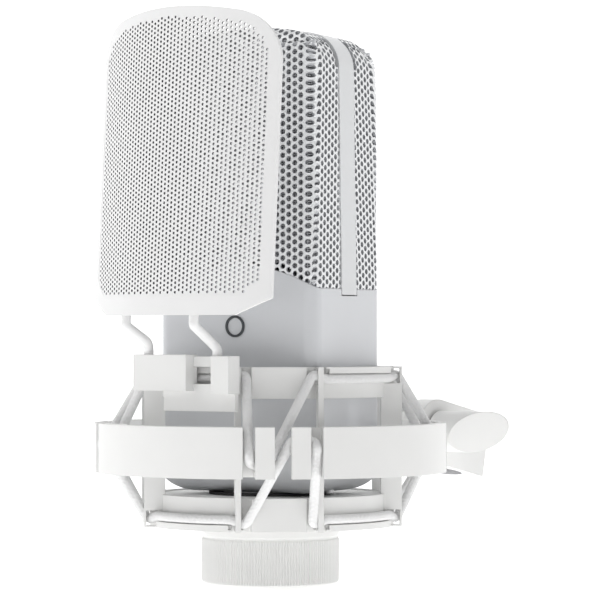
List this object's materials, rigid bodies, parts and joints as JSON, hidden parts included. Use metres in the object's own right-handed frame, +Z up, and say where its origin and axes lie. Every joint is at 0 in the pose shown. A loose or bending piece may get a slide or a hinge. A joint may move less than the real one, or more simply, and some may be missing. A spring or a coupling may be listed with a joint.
{
  "type": "desktop microphone",
  "caption": "Side-address condenser microphone hung on elastic cords in a ring-shaped shock mount, with a clip-on perforated pop filter and a swivelling stand adapter.",
  "frame": {"origin": "centre of the mouth of the stand thread, in the lower face of the swivel adapter", "axes": "+Z up along the microphone, -Y towards the front of the shock mount, where the pop filter is, +X to the right seen from behind the filter side"},
  "size_m": [0.1056, 0.152, 0.17],
  "materials": {
    "adapter_plastic": "satin",
    "mount_white": "satin",
    "cord_white": "woven",
    "pad_rubber": "matte",
    "body_silver": "satin",
    "grille_white": "satin",
    "mesh_steel": "fine woven",
    "steel": "turned",
    "brass": "turned",
    "gold": "bright",
    "insulator": "matte",
    "board_green": "satin",
    "mark_grey": "matte",
    "filter_white": "satin",
    "wire_white": "satin"
  },
  "bodies": {
    "adapter": {"stand_adapter": "adapter_plastic", "thread_bushing": "steel", "clamp_nut": "steel"},
    "knob": {"clamp_knob": "mount_white", "clamp_screw": "steel", "clamp_washer": "steel"},
    "ring": {"outer_ring": "mount_white"},
    "cradle": {"cradle_basket": "mount_white", "floor_plate": "mount_white", "floor_pad": "pad_rubber", "upper_elastic": "cord_white", "lower_elastic": "cord_white"},
    "nut": {"ring_nut": "mount_white", "nut_washer": "steel"},
    "microphone": {"body_shell": "body_silver", "threaded_neck": "steel", "xlr_insert": "insulator", "xlr_pins": "gold", "head_frame": "body_silver", "front_grille": "grille_white", "rear_grille": "grille_white", "front_mesh": "mesh_steel", "rear_mesh": "mesh_steel", "head_plate": "steel", "capsule_saddle": "pad_rubber", "capsule_ring": "brass", "capsule_backplate": "brass", "front_diaphragm": "gold", "rear_diaphragm": "gold", "chassis_rails": "steel", "circuit_board": "board_green", "output_parts": "insulator", "body_screws": "steel", "polar_mark": "mark_grey"},
    "clip": {"filter_bracket": "mount_white"},
    "filter": {"filter_wires": "wire_white", "filter_border": "filter_white", "filter_screen": "filter_white"}
  },
  "joints": [
    {"name": "swivel_tilt", "type": "hinge", "parent": "adapter", "child": "ring", "pos_m": [0, -0.01406, 0.01321], "axis": [1, 0, 0], "range_deg": [-35, 20]},
    {"name": "clamp_turn", "type": "hinge", "parent": "adapter", "child": "knob", "pos_m": [0, -0.01406, 0.01321], "axis": [1, 0, 0], "continuous": true},
    {"name": "suspension_sag", "type": "slide", "parent": "ring", "child": "cradle", "axis": [0, 0, 1], "range_m": [-0.002, 0.002], "stiffness_N_per_m": 9000, "springref_m": 0.0006, "deforming": ["upper_elastic", "lower_elastic"]},
    {"name": "mic_turn", "type": "hinge", "parent": "cradle", "child": "microphone", "pos_m": [0, -0.08206, -0.00609], "axis": [0, 0, 1], "range_deg": [-90, 90]},
    {"name": "ring_nut_turn", "type": "hinge", "parent": "microphone", "child": "nut", "pos_m": [0, -0.08206, -0.02309], "axis": [0, 0, 1], "continuous": true},
    {"name": "clip_pull", "type": "slide", "parent": "cradle", "child": "clip", "axis": [0.075, -0.9972, 0], "range_m": [0, 0.02]},
    {"name": "filter_height", "type": "slide", "parent": "clip", "child": "filter", "axis": [0, 0, 1], "range_m": [0, 0.008]}
  ]
}
